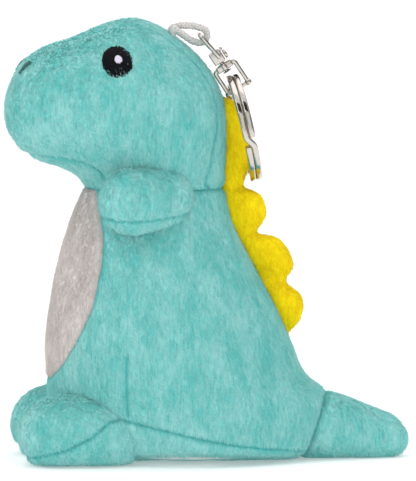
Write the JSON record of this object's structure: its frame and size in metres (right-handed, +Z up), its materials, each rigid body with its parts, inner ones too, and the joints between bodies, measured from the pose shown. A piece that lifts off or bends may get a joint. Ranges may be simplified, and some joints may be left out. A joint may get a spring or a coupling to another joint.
{
  "type": "plush keychain",
  "caption": "Small stuffed plush dinosaur with a cord loop, a metal swivel and a split ring for keys.",
  "frame": {"origin": "on the surface the plush stands on, under the middle of its bounding box without the cord", "axes": "+Z up, the dinosaur faces -Y, its left side is on +X"},
  "size_m": [0.06, 0.1036, 0.1127],
  "materials": {
    "teal_pile": "short brushed pile",
    "white_pile": "short brushed pile",
    "yellow_pile": "short brushed pile",
    "filling": "loose fibre",
    "black_thread": "satin stitch",
    "pale_thread": "satin stitch",
    "grey_thread": "satin stitch",
    "cord": "braided",
    "nickel": "polished nickel plate"
  },
  "bodies": {
    "plush": {"base_panel": "teal_pile", "belly_panel": "white_pile", "body_filling": "filling", "body_side_left": "teal_pile", "body_side_right": "teal_pile", "chin_panel": "teal_pile", "cord_anchor": "cord", "crest_face_left": "yellow_pile", "crest_face_right": "yellow_pile", "crest_filling": "filling", "eye_glint_left": "pale_thread", "eye_glint_right": "pale_thread", "eye_left": "black_thread", "eye_right": "black_thread", "foot_filling_left": "filling", "foot_filling_right": "filling", "foot_sole_left": "teal_pile", "foot_sole_right": "teal_pile", "foot_upper_left": "teal_pile", "foot_upper_right": "teal_pile", "head_filling": "filling", "head_gusset": "teal_pile", "head_side_left": "teal_pile", "head_side_right": "teal_pile", "nostril_left": "grey_thread", "nostril_right": "grey_thread"},
    "cord_loop": {"cord_loop": "cord"},
    "swivel_eye": {"swivel_eye": "nickel", "swivel_nut": "nickel", "swivel_rivet": "nickel", "swivel_post": "nickel"},
    "swivel_link": {"swivel_link": "nickel"},
    "split_ring": {"split_ring": "nickel"},
    "arm_left": {"arm_filling_left": "filling", "arm_lower_left": "teal_pile", "arm_upper_left": "teal_pile"},
    "arm_right": {"arm_filling_right": "filling", "arm_lower_right": "teal_pile", "arm_upper_right": "teal_pile"},
    "tail": {"tail_filling": "filling", "tail_side_left": "teal_pile", "tail_side_right": "teal_pile"}
  },
  "joints": [
    {"name": "loop_lift", "type": "hinge", "parent": "plush", "child": "cord_loop", "pos_m": [0, -0.0092, 0.1102], "axis": [1, 0, 0], "range_deg": [0, 80]},
    {"name": "eye_swing", "type": "hinge", "parent": "cord_loop", "child": "swivel_eye", "pos_m": [0, -0.0021, 0.1088], "axis": [1, 0, 0], "range_deg": [0, 80]},
    {"name": "swivel_spin", "type": "hinge", "parent": "swivel_eye", "child": "swivel_link", "pos_m": [0, -0.00139, 0.10927], "axis": [0, 0.5505, -0.8348], "range_deg": [-15, 15]},
    {"name": "ring_tilt", "type": "hinge", "parent": "swivel_link", "child": "split_ring", "pos_m": [0, 0.00641, 0.09744], "axis": [1, 0, 0], "range_deg": [0, 90]},
    {"name": "arm_left_give", "type": "hinge", "parent": "plush", "child": "arm_left", "pos_m": [0.012, -0.0125, 0.068], "axis": [1, 0, 0], "range_deg": [-15, 15], "stiffness_Nm_per_rad": 0.02},
    {"name": "arm_right_give", "type": "hinge", "parent": "plush", "child": "arm_right", "pos_m": [-0.012, -0.0125, 0.068], "axis": [1, 0, 0], "range_deg": [-15, 15], "stiffness_Nm_per_rad": 0.02},
    {"name": "tail_wag", "type": "hinge", "parent": "plush", "child": "tail", "pos_m": [0, 0.02705, 0.0094], "axis": [0, 0.3745, 0.9272], "range_deg": [-15, 15], "stiffness_Nm_per_rad": 0.02}
  ]
}
